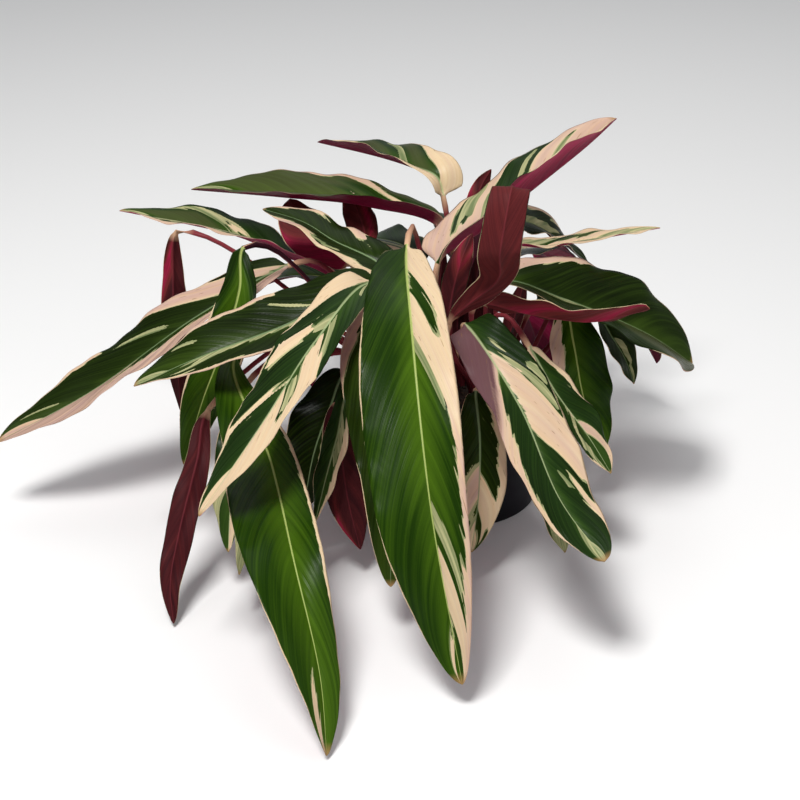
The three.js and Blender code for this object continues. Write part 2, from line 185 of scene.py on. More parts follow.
LEAVES = [
    Leaf("leaf_front_centre", "green", (-6, -14), 51, 272,
         [(-31, -43, 183), (-29, -116, 167), (-19, -193, 96), (-3, -229, 15)],
         bend=[(-28, -30, 190)], roll=(5, 13, 16), fold=0.26, skew=0.15, base=0.41, tip=0.64),
    Leaf("leaf_front_centre_under", "dark", (-10, -28), 34, 268,
         [(-44, -52, 151), (-53, -92, 136), (-41, -136, 85), (-40, -165, 32)],
         roll=(-1, -11, -4), fold=0.19, skew=0.04, base=0.45, tip=0.62),
    Leaf("leaf_front_left_long", "green", (-38, -8), 43, 285,
         [(-130, -52, 118), (-106, -125, 87), (-89, -200, 69), (-75, -242, 30), (-71, -270, 3)],
         bend=[(-56, -16, 100)], roll=(6, 6, -38), fold=0.34, skew=0.29, base=0.68, tip=0.58),
    Leaf("leaf_front_left_cream", "cream", (-20, -20), 35, 225,
         [(-51, -56, 165), (-81, -109, 153), (-106, -153, 128), (-138, -190, 92)],
         roll=(-15, -1, 8), fold=0.09, skew=0.11, base=0.2, tip=0.69, wave=1.5),
    Leaf("leaf_front_right_broad", "cream", (12, -24), 41, 300,
         [(2, -74, 147), (30, -124, 121), (49, -168, 89), (70, -200, 71)],
         roll=(27, 1, 8), fold=0.12, skew=-0.08, base=0.2, tip=0.47),
    Leaf("leaf_front_right_shaded", "dark", (16, -34), 31, 275,
         [(9, -66, 101), (11, -86, 80), (10, -102, 50), (6, -116, 23)]),
    Leaf("leaf_front_left_narrow", "cream", (-16, -36), 15, 250,
         [(-62, -78, 112), (-71, -95, 86), (-78, -107, 63), (-83, -118, 45)]),
    Leaf("leaf_front_crimson", "crimson", (-24, -33), 26, 90,
         [(-69, -66, 96), (-69, -84, 73), (-65, -98, 47), (-58, -108, 20)], bend=[(-44, -52, 102)]),
    Leaf("leaf_front_left_dark", "dark", (-30, -21), 40, 250,
         [(-66, -42, 103), (-77, -56, 84), (-86, -70, 62), (-92, -82, 32)]),
    Leaf("leaf_front_left_crimson", "crimson", (-37, -20), 17, 90,
         [(-145, -75, 95), (-150, -102, 76), (-159, -130, 44), (-163, -147, 22), (-161, -158, 3)],
         bend=[(-82, -42, 130)], tip=0.6),
    Leaf("leaf_left_tip_a", "dark", (-34, -28), 16, 260,
         [(-115, -74, 101), (-119, -110, 73), (-121, -134, 51), (-124, -150, 30)], bend=[(-68, -52, 120)]),
    Leaf("leaf_left_tip_b", "cream", (-43, -15), 24, 250,
         [(-126, -50, 98), (-129, -84, 76), (-132, -108, 50), (-133, -122, 27)], bend=[(-80, -32, 122)]),
    Leaf("leaf_left_green", "dark", (-22, -8), 40, 190,
         [(-48, -36, 158), (-100, -64, 143), (-146, -80, 131), (-186, -84, 114)],
         roll=(-16, -23, -5), skew=0.16, base=0.48, tip=0.66, wave=1.2),
    Leaf("leaf_left_long", "dark", (-31, 0), 46, 190,
         [(-103, 14, 148), (-159, 4, 119), (-225, -16, 77), (-282, -34, 51)],
         bend=[(-84, 8, 152)], roll=(-26, -11, -23), fold=0.34, skew=-0.04, base=0.46, tip=0.7),
    Leaf("leaf_left_hanging", "green", (-38, -3), 28, 262,
         [(-128, -8, 168), (-130, -24, 148), (-140, -36, 117), (-153, -44, 85), (-166, -52, 45)],
         bend=[(-111, 0, 164)], roll=(-10, -10, 0), fold=0.3),
    Leaf("leaf_left_crimson", "crimson", (-34, 10), 17, 90,
         [(-174, 38, 161), (-178, 34, 130), (-178, 28, 91), (-177, 20, 44)],
         bend=[(-136, 31, 149), (-160, 36, 160)]),
    Leaf("leaf_left_upper_dark", "dark", (-12, -4), 37, 160,
         [(-41, -20, 157), (-76, 1, 170), (-93, 14, 176), (-119, 27, 180)],
         roll=(-32, 1, -9), fold=0.21, skew=-0.09, base=0.2, tip=0.75, wave=1),
    Leaf("leaf_back_left_long", "cream", (-22, 13), 36, 160,
         [(-72, 20, 135), (-108, 38, 146), (-138, 53, 153), (-170, 71, 154), (-219, 91, 156)],
         roll=(46, 6, 2), fold=0.31, skew=0.07, base=0.46, tip=0.79),
    Leaf("leaf_back_left_dark", "green", (-6, 18), 44, 165,
         [(-7, 24, 166), (-54, 47, 175), (-108, 64, 175), (-170, 84, 173)],
         roll=(32, 2, 4), fold=0.45, skew=0.05, base=0.37, tip=0.79, wave=1),
    Leaf("leaf_back_crimson", "crimson", (-18, 20), 33, 270,
         [(-65, 25, 144), (-87, 43, 154), (-100, 55, 164), (-105, 65, 173)], tip=0.5),
    Leaf("leaf_top_crimson", "crimson", (-2, 24), 20, 270,
         [(-54, 40, 147), (-58, 50, 159), (-63, 60, 169), (-69, 71, 178)]),
    Leaf("leaf_top_small", "cream", (8, 18), 32, 150,
         [(-8, 50, 180), (-12, 54, 191), (-27, 64, 195), (-48, 82, 196), (-89, 112, 196)],
         roll=(-30, 14, 16), fold=0.45, skew=0.24, base=0.22, wave=1),
    Leaf("leaf_top_right_cream", "cream", (4, 4), 50, 36,
         [(-13, -22, 163), (12, 8, 172), (43, 36, 187), (84, 70, 208), (102, 84, 220)],
         roll=(-14, -24, -8), fold=0.62, base=0.3, tip=0.64, wave=1.5),
    Leaf("leaf_front_erect_crimson", "crimson", (10, -8), 24, 270,
         [(-7, -62, 143), (19, -73, 175), (19, -86, 196), (25, -74, 227), (29, -40, 209)],
         roll=(-2, 9, 3), fold=0.08, base=0.74, tip=0.41, wave=0.6),
    Leaf("leaf_centre_crimson", "crimson", (0, -4), 15, 270,
         [(-6, -34, 132), (-4, -36, 153), (1, -34, 172), (7, -26, 184)], wave=1),
    Leaf("leaf_centre_back_crimson", "crimson", (14, 8), 12, 270,
         [(8, 40, 164), (12, 50, 176), (17, 56, 187), (22, 58, 195)], wave=1),
    Leaf("leaf_right_broad", "dark", (30, 0), 70, 350,
         [(26, -24, 152), (63, -23, 141), (114, -16, 116), (147, -2, 89)],
         roll=(6, 6, 10), fold=0.34, skew=0.01, base=0.39, tip=0.65),
    Leaf("leaf_right_crimson", "crimson", (22, -12), 28, 350,
         [(9, -55, 152), (42, -65, 150), (74, -70, 148), (105, -73, 157)],
         roll=(-68, -38, -47), fold=0.2, skew=0.06, base=0.36, tip=0.42, wave=1),
    Leaf("leaf_right_thin", "cream", (18, 6), 27, 15,
         [(24, 0, 164), (56, 14, 161), (91, 24, 163), (126, 32, 166)], roll=(-9, -9, -9), wave=1),
    Leaf("leaf_right_back_dark", "dark", (24, 16), 40, 20,
         [(21, 34, 164), (43, 54, 162), (64, 66, 148), (89, 68, 126)], roll=(12, 14, 8)),
    Leaf("leaf_right_hanging", "green", (36, -8), 38, 290,
         [(64, 0, 131), (71, -14, 107), (78, -24, 75), (92, -30, 44)]),
    Leaf("leaf_right_small_dark", "dark", (38, 6), 24, 320,
         [(85, 16, 116), (98, 14, 100), (107, 10, 86), (113, 6, 71)], wave=1),
    Leaf("leaf_right_variegated", "cream", (28, -20), 28, 310,
         [(40, -52, 124), (55, -70, 103), (73, -86, 83), (86, -98, 65)],
         bend=[(20, -34, 134), (28, -44, 139)]),
    Leaf("leaf_front_right_tip", "dark", (24, -32), 20, 290,
         [(38, -90, 89), (45, -108, 70), (52, -122, 52), (58, -132, 33)], bend=[(30, -60, 104)]),
    Leaf("leaf_rear_1", "cream", (14, 24), 46, 58,
         [(22, 46, 130), (48, 94, 128), (72, 138, 102), (90, 172, 58)]),
    Leaf("leaf_rear_2", "green", (4, 28), 50, 88,
         [(6, 50, 148), (8, 100, 146), (12, 150, 118), (14, 190, 70)]),
    Leaf("leaf_rear_3", "cream", (-8, 28), 46, 122,
         [(-20, 50, 134), (-48, 96, 134), (-76, 140, 106), (-96, 174, 60)]),
    Leaf("leaf_rear_4", "green", (-22, 24), 44, 147,
         [(-52, 40, 116), (-98, 72, 118), (-142, 102, 90), (-174, 124, 46)]),
    Leaf("leaf_rear_5", "dark", (33, 20), 42, 35,
         [(52, 32, 116), (94, 60, 112), (124, 84, 84), (144, 102, 40)]),
    Leaf("leaf_rear_6", "dark", (-2, 34), 40, 98,
         [(-6, 60, 108), (-12, 98, 104), (-18, 130, 72), (-22, 146, 24)]),
    Leaf("leaf_rear_7", "green", (16, 32), 36, 58,
         [(28, 58, 100), (46, 90, 90), (60, 112, 56), (68, 124, 16)]),
    Leaf("leaf_rear_8", "cream", (-20, 32), 36, 128,
         [(-46, 56, 102), (-70, 86, 90), (-88, 108, 56), (-98, 118, 14)]),
]
front_leaf = LEAVES[0]
print("leaves:", len(LEAVES))

# %% [markdown]
# ## The line of a leaf
#
# Stalk and midrib are one smooth line. A Catmull-Rom spline passes through every point of the row, and its
# centripetal form, which spaces its knots by the square root of the distance, doesn't loop where two points
# lie close together. The line is then measured, so that rings can be placed along it by real length.

# %% Stalk and midrib line
SPAN_STEPS = 40
FOOT_HEIGHT = 73


def catmull_rom(points):
    """Points along a centripetal Catmull-Rom curve through the given ones, SPAN_STEPS to a span."""
    p = np.array([2 * points[0] - points[1], *points, 2 * points[-1] - points[-2]])
    line = []
    t = np.linspace(0, 1, SPAN_STEPS, endpoint=False)[:, None]
    for a, b, c, d in zip(p, p[1:], p[2:], p[3:]):
        ab, bc, cd = (np.sqrt(np.linalg.norm(e)) for e in (b - a, c - b, d - c))
        leave = ((b - a) / ab - (c - a) / (ab + bc) + (c - b) / bc) * bc
        arrive = ((c - b) / bc - (d - b) / (bc + cd) + (d - c) / cd) * bc
        line.append(b + leave * t + (3 * (c - b) - 2 * leave - arrive) * t ** 2
                    + (2 * (b - c) + leave + arrive) * t ** 3)
    return np.vstack([*line, points[-1]])


def leaf_line(leaf):
    """The line, the distance of each of its points from the foot, and the distance of the knee."""
    foot = (*leaf.root, FOOT_HEIGHT)
    stalk = [foot, *leaf.bend]
    line = catmull_rom(np.array([*stalk, *leaf.blade], float))
    steps = np.linalg.norm(np.diff(line, axis=0), axis=1)
    distance = np.concatenate([[0], np.cumsum(steps)])
    return line, distance, distance[SPAN_STEPS * len(stalk)]


_, front_distance, front_knee = leaf_line(front_leaf)
front_length = front_distance[-1] - front_knee
print(f"front leaf: stalk {front_knee:.0f} mm, blade {front_length:.0f} mm")

# %% [markdown]
# ## Rings along the line
#
# A real leaf has no seam: the round stalk swells into a short joint, the pulvinus, which turns the blade to
# the light, and flattens out into the blade. Separate tubes and sheets would leave a join there. So each leaf
# is a single grid, rolled up like a sleeve: its rings are circles along the stalk and very flat outlines along
# the blade, whose upper half is the green face and whose lower half is the crimson one.
#
# First come the places of the rings, which start below the surface of the soil, and the way each is turned.

# %% Rings and axes
STALK_RINGS = 18
RING_STEP = 1.8
RING_EASING = 0.35
BURIED = 9


def smoothstep(low, high, x):
    """Rises smoothly from 0 at low to 1 at high."""
    t = np.clip((x - low) / (high - low), 0, 1)
    return t * t * (3 - 2 * t)


def points_at(line, distance, d):
    """The points of a line at the distances d along it."""
    return np.array([np.interp(d, distance, line[:, i]) for i in range(3)]).T


def ring_distances(knee, total):
    """Distances along the line for all rings, closer together at the knee and at the tip."""
    stalk = np.linspace(-BURIED, knee, STALK_RINGS, endpoint=False)
    t = np.linspace(0, 1, round((total - knee) / RING_STEP))
    eased = (1 - RING_EASING) * t + RING_EASING * (1 - np.cos(np.pi * t)) / 2
    return np.concatenate([stalk, knee + (total - knee) * eased])


def leaf_axes(leaf, tangent, s):
    """The leaf's own axes at each ring: across to the left of its heading, and up out of its upper face."""
    heading = math.radians(leaf.heading)
    level = np.array([-math.sin(heading), math.cos(heading), 0])
    across = level - tangent * (tangent @ level)[:, None]
    across /= np.linalg.norm(across, axis=1)[:, None]
    up = np.cross(tangent, across)
    knee, middle, tip = leaf.roll
    roll = np.radians(knee * (1 - s) * (1 - 2 * s) + middle * 4 * s * (1 - s) + tip * s * (2 * s - 1))
    cos, sin = np.cos(roll)[:, None], np.sin(roll)[:, None]
    return across * cos + up * sin, up * cos - across * sin


print("rings on the front leaf:", len(ring_distances(front_knee, front_distance[-1])))

# %% [markdown]
# ## The form of a blade
#
# The outline is half a sine wave, and an exponent makes its ends full or slim. The two halves rise from the
# midrib as a shallow V and arch a little, the edge waves and ripples, and the tissue is quilted between the
# side veins, which run forward at a slant. Displacement textures could add all of that, but they push every
# leaf alike, and formulas in real millimetres can follow each leaf's own veins and edge.

# %% Blade form
TIP_HALF_WIDTH = 0.35
ARCH = 0.16
WAVES_PER_LEAF, WAVE_OFFSET = 3.2, 1.9
RIPPLE_HEIGHT, RIPPLE_LENGTH = 0.5, 21
VEIN_SLANT, LONGEST_SLANT, VEIN_CURVE = 2.8, 0.3, 0.4
QUILT_HEIGHT, QUILT_LENGTH, QUILT_DRIFT = 0.15, 9, 17


def blade_form(leaf, seed, s, v, length):
    """How far each point lies from the midrib, how high over it, and how far along the side veins."""
    side = np.sign(v)
    fullness = leaf.base + (leaf.tip - leaf.base) * s
    half = leaf.width / 2 * np.maximum(np.sin(np.pi * s), 0) ** fullness
    half = np.maximum(half, TIP_HALF_WIDTH) * (1 - leaf.skew * side)

    swell = np.sqrt(np.maximum(np.sin(np.pi * s), 0))
    arch = 4 * np.abs(v) * (1 - np.abs(v))
    height = half * leaf.fold * (np.abs(v) + ARCH * arch)
    phase = np.where(v > 0, WAVE_OFFSET, 0)
    height = height + leaf.wave * v ** 2 * np.sin(2 * np.pi * WAVES_PER_LEAF * s + phase) * swell
    along = s * length
    ripple = np.sin(2 * np.pi * along / RIPPLE_LENGTH + seed + side * 2)
    height = height + RIPPLE_HEIGHT * v ** 6 * ripple * swell

    slant = min(VEIN_SLANT * leaf.width / 2, LONGEST_SLANT * length)
    vein = along - slant * (np.abs(v) + VEIN_CURVE * v ** 2) / (1 + VEIN_CURVE)
    quilt = np.sin(2 * np.pi * vein / QUILT_LENGTH + 2 * np.sin(vein / QUILT_DRIFT + seed))
    return half * v, height + QUILT_HEIGHT * arch * quilt * swell, vein


edge_x, edge_height, _ = blade_form(front_leaf, 0, 0.5, 1.0, front_length)
print(f"front leaf, half way: left edge {edge_x:.1f} mm out and {edge_height:.1f} mm above the midrib")

# %% [markdown]
# ## One skin for stalk and blade
#
# The columns of the grid crowd towards the midrib, where the blade bends most. The wall of the blade gets its
# real parts: a groove along the top of the midrib, the rib standing out below it, and a thinner edge. The
# stalk is thickest in the sheath at its foot and again at the knee, and the neck blends circle into blade.

# %% Leaf skin
AROUND = 72
COLUMN_CROWDING = 1.15
SHEATH_RADIUS, STALK_RADIUS, KNEE_RADIUS = 2.1, 1.4, 1.9
SHEATH_LENGTH, KNEE_BEFORE, KNEE_REACH = 45, 5.6, 7.2
BLADE_ABOVE, BLADE_BELOW, EDGE_THINNING = 0.2, 0.3, 0.6
RIB_DEPTH, RIB_WIDTH, RIB_TAPER = 1.2, 1.3, 0.8
GROOVE_DEPTH, GROOVE_WIDTH, GROOVE_TAPER = 0.5, 1.0, 0.6
NECK = 0.035


def stalk_radius(d, knee):
    """The radius of the stalk at a distance from its foot."""
    taper = smoothstep(0, SHEATH_LENGTH, d)
    swollen = np.exp(-((d - knee + KNEE_BEFORE) / KNEE_REACH) ** 2)
    return SHEATH_RADIUS + (STALK_RADIUS - SHEATH_RADIUS) * taper + (KNEE_RADIUS - STALK_RADIUS) * swollen


def leaf_surface(leaf, seed):
    """Where every point of the leaf's skin is, ring by ring, and its place on the blade."""
    line, distance, knee = leaf_line(leaf)
    total = distance[-1]
    length = total - knee
    d = ring_distances(knee, total)
    centre = points_at(line, distance, d)
    centre[:, 2] += np.minimum(d, 0)
    on_line = np.clip(d, 0, total)
    tangent = points_at(line, distance, on_line + 1) - points_at(line, distance, on_line - 1)
    tangent /= np.linalg.norm(tangent, axis=1)[:, None]
    s = np.clip((d - knee) / length, 0, 1)
    across, up = leaf_axes(leaf, tangent, s)

    around = np.arange(AROUND + 1) / AROUND
    upper = around <= 0.5
    q = np.where(upper, 4 * around - 1, 3 - 4 * around)
    v = np.sign(q) * np.abs(q) ** COLUMN_CROWDING
    s_column = s[:, None]
    x, height, vein = blade_form(leaf, seed, s_column, v, length)
    thin = 1 - EDGE_THINNING * v ** 8
    rib = RIB_DEPTH * np.exp(-(x / RIB_WIDTH) ** 2) * (1 - RIB_TAPER * s_column)
    groove = GROOVE_DEPTH * np.exp(-(x / GROOVE_WIDTH) ** 2) * (1 - GROOVE_TAPER * s_column)
    skin = np.where(upper, BLADE_ABOVE * thin - groove, -BLADE_BELOW * thin - rib)

    radius = stalk_radius(d[:, None], knee)
    angle = np.pi - 2 * np.pi * around
    flat = smoothstep(0, NECK, s_column)
    sideways = radius * np.cos(angle) * (1 - flat) + x * flat
    upwards = radius * np.sin(angle) * (1 - flat) + (height + skin) * flat
    place = centre[:, None] + across[:, None] * sideways[..., None] + up[:, None] * upwards[..., None]
    return SimpleNamespace(place=place * MM, s=(d - knee) / length, v=v, x=x, vein=vein,
                           under=~upper, length=length)


front_surface = leaf_surface(front_leaf, 0)
print("front leaf: %d rings of %d points" % front_surface.place.shape[:2])

# %% [markdown]
# ## Markings
#
# The pattern of a variegated leaf is made of cell layers: where the outer layer has no green it looks pale,
# where all layers have none it is cream, and in strong light the cream turns pink. The patches run out from
# the midrib along the side veins and end in ragged points. An image would be the obvious way to draw them, but
# an image is fixed to one leaf. Here each leaf has a short list of patches in its own coordinates: from where
# to where along the side veins, in percent of the blade's length, and from where to where across, from -100 at
# the right edge to 100 at the left. Like coats of paint, each patch covers what lies under it. The points of
# the mesh only carry soft values, and the material cuts them at a ragged edge.

# %% Patches
WHOLE = (-50, 100, -100, 100)
MARKS = {
    "leaf_front_centre": [
        # Painted light: the lighter band across the middle of this leaf
        ("green", -50, 100, -100, 0), ("deep", -50, 8, -100, 0), ("fresh", 32, 60, -100, 0),
        ("cream", -50, 33, 0, 100), ("deep", 8.5, 17.5, 5, 50), ("deep", 10, 16.5, 40, 76),
        ("pale", 30, 35, 0, 70), ("fresh", 35, 63, 0, 85), ("pale", 50, 60, 72, 95), ("pale", 63, 70, 0, 75),
        ("deep", 70, 72.5, 0, 40), ("cream", 72.5, 88, 0, 90), ("pink", 60, 85, 75, 100),
        ("pink", 30, 64, 84, 120), ("deep", 85, 100, 5, 40), ("cream", 88.5, 92.5, -40, -4)],
    "leaf_front_centre_under": [
        ("bright", -50, 55, -100, 100), ("pink", -12, 10, -120, -50), ("cream", -10, 30, 70, 120)],
    "leaf_front_left_long": [
        ("bright", *WHOLE), ("cream", 0, 50, 90, 120), ("cream", 78, 86, -75, -40),
        ("pink", 80, 100, -120, -60)],
    "leaf_front_left_cream": [
        ("green", -30, 3, 15, 95), ("pale", 0, 10, 10, 50), ("green", 5, 20, 20, 90), ("pale", 20, 28, 10, 80),
        ("cream", 27, 44, 8, 90), ("pale", 44, 53, 15, 65), ("cream", 53, 100, 0, 100),
        ("cream", 25, 70, 72, 120), ("cream", -40, 7, -120, -12), ("deep", 8, 20, -35, 0),
        ("deep", 5.5, 17, -85, -30), ("pale", 20, 30, -40, 0), ("cream", 17, 30, -90, -35),
        ("deep", 30, 50.5, -90, 0), ("cream", 50.5, 54.5, -45, 0), ("cream", 49, 57, -100, -40),
        ("deep", 54.5, 84, -80, 0), ("cream", 84, 110, -100, 0), ("cream", 68, 90, -120, -85)],
    "leaf_front_left_narrow": [
        ("green", *WHOLE), ("deep", -50, 100, -100, -20), ("pale", 20, 50, 10, 60),
        ("cream", -50, 100, 60, 120)],
    # Painted shade: this leaf lies in shade inside the plant, so it is painted dark all over
    "leaf_front_left_dark": [("dark", *WHOLE), ("pale", 45, 60, 15, 35)],
    "leaf_front_right_broad": [
        ("deep", -30, 10, 10, 100), ("pale", 0, 20, 25, 95), ("deep", -5, 9, 45, 75), ("beige", 15, 21, 5, 50),
        ("beige", 20, 50, 4, 95), ("deep", 50, 60, 12, 50), ("deep", 46.5, 54, 45, 90),
        ("pale", 57, 64, 25, 60), ("beige", 54, 63, 60, 100), ("deep", 62, 90, 20, 88),
        # Painted shadow: the base of the right half lies in the shade of the erect crimson leaf
        ("beige", -50, 26, -100, 0), ("mauve", -50, 22, -100, 0), ("beige", 20, 62, -120, -62),
        ("deep", 27, 84, -55, 0), ("green", 23.5, 27, -22, 0), ("deep", 42, 78, -85, -40),
        ("pale", 84, 100, -100, 0), ("pale", 90, 100, 0, 100)],
    "leaf_front_right_shaded": [
        ("deep", -50, 50, -100, 70), ("pale", 12, 17, 15, 75), ("cream", -30, 60, 72, 120),
        ("cream", 52, 76, 0, 70), ("deep", 76, 84, 0, 30), ("cream", 84, 100, 0, 100),
        ("pink", 46, 70, -50, 0), ("pale", 70, 80, -40, -5), ("cream", 80, 100, -100, 0)],
    "leaf_front_right_tip": [("pale", *WHOLE), ("green", 20, 60, -100, 20)],
    "leaf_right_variegated": [
        ("cream", -50, 3, -100, 100), ("deep", 2, 17, 8, 70), ("cream", 0, 22, 72, 120),
        ("pale", 17, 23.5, 15, 75), ("deep", 23.5, 58, 0, 72), ("pink", 58, 72, 0, 100),
        ("green", 72, 95, 0, 50), ("cream", -20, 10, -100, 0), ("deep", 10, 28, -70, -5),
        ("pale", 28, 40, -60, -5), ("deep", 40, 45, -70, 0), ("pink", 45, 62, -60, 0),
        ("deep", 50, 54, -35, -10), ("green", 62, 95, -60, 0), ("pale", 50, 80, -90, -50),
        ("cream", 60, 100, -120, -85), ("cream", 60, 100, 80, 120)],
    "leaf_left_green": [
        ("deep", -50, 62, 20, 85), ("pale", 20, 75, 0, 20), ("cream", -10, 10, 20, 100),
        ("pale", 62, 66, 10, 70), ("pink", 10, 72, 88, 120), ("deep", -20, 23, -100, 0),
        ("pale", 23, 26.8, -68, -10), ("deep", 26.8, 50, -70, 0), ("pink", 10, 52, -120, -92),
        ("green", 50, 85, -100, 0), ("pale", 56, 60, -85, -55), ("pale", 85, 100, -100, 100)],
    "leaf_left_long": [
        ("dusky", -50, 100, 0, 120), ("green", 0, 50, 0, 50), ("deep", -50, 20, -100, 0),
        ("pink", -3, 17.5, -100, -10), ("deep", 17.5, 35.5, -100, 0), ("pale", 35, 37, -50, 0),
        ("pale", 33, 36.5, -100, -35), ("deep", 37, 74, -85, -2), ("pink", 34, 50, -120, -92),
        ("pale", 74, 77.5, -60, -20), ("green", 77.5, 85, -60, 0), ("pink", 85, 120, -100, 0)],
    "leaf_left_hanging": [
        ("bright", -50, 50, -100, 100), ("cream", -30, 40, 92, 120), ("cream", -30, 40, -120, -92),
        # Painted shade: the base of this leaf is painted dark
        ("dark", -50, 1, -100, 100)],
    "leaf_left_tip_a": [("pale", *WHOLE), ("green", 10, 50, -50, 60)],
    "leaf_left_tip_b": [
        ("green", -50, 100, -100, 10), ("cream", 70, 100, 0, 120), ("pale", 40, 60, -100, -20)],
    "leaf_left_upper_dark": [
        ("deep", *WHOLE), ("cream", -20, 34, 68, 120), ("pale", 10, 30, 60, 80), ("pink", 34, 62, 66, 120),
        ("pink", 3, 20, -120, -55), ("pale", 8, 12, -55, -15), ("pink", 40, 75, -120, -80)],
    "leaf_back_left_long": [
        ("deep", -50, 37, -100, 0), ("pale", 37.5, 50, -70, 0), ("cream", 40, 46, -60, -10),
        ("pale", 42, 60, -90, -45), ("sage", 51, 86, -70, 0), ("pale", 86, 110, -100, 100),
        ("pale", 30, 70, 0, 60), ("pink", -50, 100, 75, 120)],
    "leaf_back_left_dark": [
        ("sage", *WHOLE), ("deep", -50, 25, -60, 0), ("cream", 10, 14.5, -95, -35),
        ("cream", 31, 33.5, -35, -12), ("pink", 10, 30, -120, -88), ("pale", 80, 100, -100, 100)],
    "leaf_top_small": [
        ("cream", -50, 12, -100, 100), ("sage", 12, 33, -100, 0), ("pale", 33, 42, -90, 0),
        ("sage", 42, 62, -100, 0), ("cream", 62, 100, -100, 0)],
    "leaf_top_right_cream": [
        ("pink", -50, 32, 0, 100), ("green", 6, 10, 30, 80), ("pale", 10, 20, 45, 100),
        ("pale", 26, 31, 10, 60), ("green", 31, 44, 30, 85), ("pale", 44, 50, 35, 90),
        ("green", 49, 52, 50, 90), ("pink", 52, 120, 0, 100), ("pale", 62, 68, 30, 70),
        ("green", -20, 25, -100, 0), ("cream", 25, 120, -120, -40)],
    "leaf_right_broad": [
        ("pink", -40, -3, 10, 100), ("deep", -3, 60, 0, 86), ("green", 0, 9, 0, 50),
        ("pink", -20, 10, 86, 120), ("green", 40, 62, 60, 100), ("green", 60, 100, 0, 100),
        ("bright", -40, 10, -100, -5), ("pale", 8, 38, -35, 0), ("sage", 38, 100, -100, 0)],
    "leaf_right_thin": [
        ("cream", *WHOLE), ("pale", 0, 30, 10, 70), ("sage", 30, 50, 30, 70), ("pale", 20, 40, -60, -10),
        ("pale", 40, 70, -70, -10), ("pale", 60, 100, 0, 60)],
    "leaf_right_back_dark": [("deep", *WHOLE), ("pale", 30, 60, 0, 35), ("pink", 10, 50, 85, 120)],
    "leaf_right_hanging": [("green", *WHOLE), ("pink", -10, 36, -120, -50)],
    "leaf_right_small_dark": [("deep", *WHOLE), ("pale", 40, 100, 10, 40)],
    # On these crimson leaves the lower face shows, and a cream patch makes the red brighter: partly its own
    # colour, partly painted light shining through
    "leaf_front_erect_crimson": [("green", *WHOLE), ("pink", 62, 85, 80, 120)],
    "leaf_right_crimson": [("green", *WHOLE), ("cream", 20, 36, -100, 100), ("cream", 60, 80, -100, 20)],
    "leaf_front_crimson": [("deep", *WHOLE), ("cream", 50, 90, 70, 120)],
    "leaf_front_left_crimson": [("deep", *WHOLE)],
    "leaf_left_crimson": [("deep", *WHOLE), ("cream", 0, 20, 10, 100)],
    "leaf_back_crimson": [("green", *WHOLE), ("cream", -50, 50, -100, 100)],
    "leaf_top_crimson": [("green", *WHOLE), ("cream", 10, 100, 30, 70)],
    "leaf_centre_crimson": [("deep", *WHOLE), ("cream", 55, 70, -100, 100)],
}
print("leaves with patches of their own:", len(MARKS))

# %% [markdown]
# ## From patches to values
#
# Each tone is four numbers: whether the tissue is cream, whether it is pale, how far its cream turns pink, and
# how light its green is. Past the pink, the third number paints a purple-grey shadow on cream that another leaf
# shades, and on green it paints a grey sheen of the sky on leaves that face up. The darkest tone is painted
# shade inside the plant, and a lighter band across the middle of the front leaf is painted light. Between two
# patches the numbers change over 14 mm, and there the noise in the material decides which way a streak goes.
# The leaves that the front view hides get sectors from a seeded dice, the young leaves are plain, and every
# leaf gets the thin pale rim that comes and goes.

# %% Tones of every point
FULL, NONE = 0.65, -0.7
TONES = dict(
    cream=(FULL, NONE, 0.1, 0.0), beige=(FULL, NONE, 0.45, 0.0), pink=(FULL, NONE, 0.8, 0.0),
    # The second tone on the next line is a painted shadow of another leaf on cream
    dusky=(FULL, NONE, 1.05, 0.0), mauve=(FULL, NONE, 1.7, 0.0), pale=(NONE, FULL, 0.0, 0.0),
    # The last tone on the next line is painted shade for leaves deep inside the plant
    green=(NONE, NONE, 0.0, 0.0), deep=(NONE, NONE, 0.0, -0.2), dark=(NONE, NONE, 0.0, -0.5),
    # The last tone on the next line is a painted sheen of the sky, and the one before it a lighter green
    # painted as light
    bright=(NONE, NONE, 0.0, 0.08), fresh=(NONE, NONE, 0.0, 0.12), sage=(NONE, NONE, 1.0, 0.05))
SOFT_ALONG, SOFT_ACROSS = 7, 20
EDGE_START, EDGE_BOOST = 0.75, 2.5
RIM_START, RIM_STRENGTH, RIM_DRIFT = 0.92, 4.0, 19


def patch(surface, start, end, right, left):
    """How much a point belongs to a patch: 0.5 on its outline, rising to 1 inside it. At the midrib, at 0,
    a patch ends sharply, and with -100 or 100 it runs on over the edge of the leaf."""
    s, v = 100 * surface.vein / surface.length, 100 * surface.v
    along = np.minimum(s - start, end - s) * surface.length / 100 / SOFT_ALONG
    from_right = {0: np.where(v > 0, 1, -1), -100: 1}.get(right, (v - right) / SOFT_ACROSS)
    from_left = {0: np.where(v <= 0, 1, -1), 100: 1}.get(left, (left - v) / SOFT_ACROSS)
    return np.clip(0.5 + 0.5 * np.minimum(along, np.minimum(from_right, from_left)), 0, 1)


def dealt_marks(dice):
    """Sectors for one leaf, dealt at random along each half."""
    marks = []
    for right, left in ((-100, 0), (0, 100)):
        start = -40
        while start < 100:
            tone = dice.choice(("deep", "green", "deep", "green", "cream", "pink", "pale"))
            step = dice.uniform(4, 12) if tone == "pale" else dice.uniform(8, 30)
            marks.append((tone, start, start + step, right, left))
            start += step
    return marks


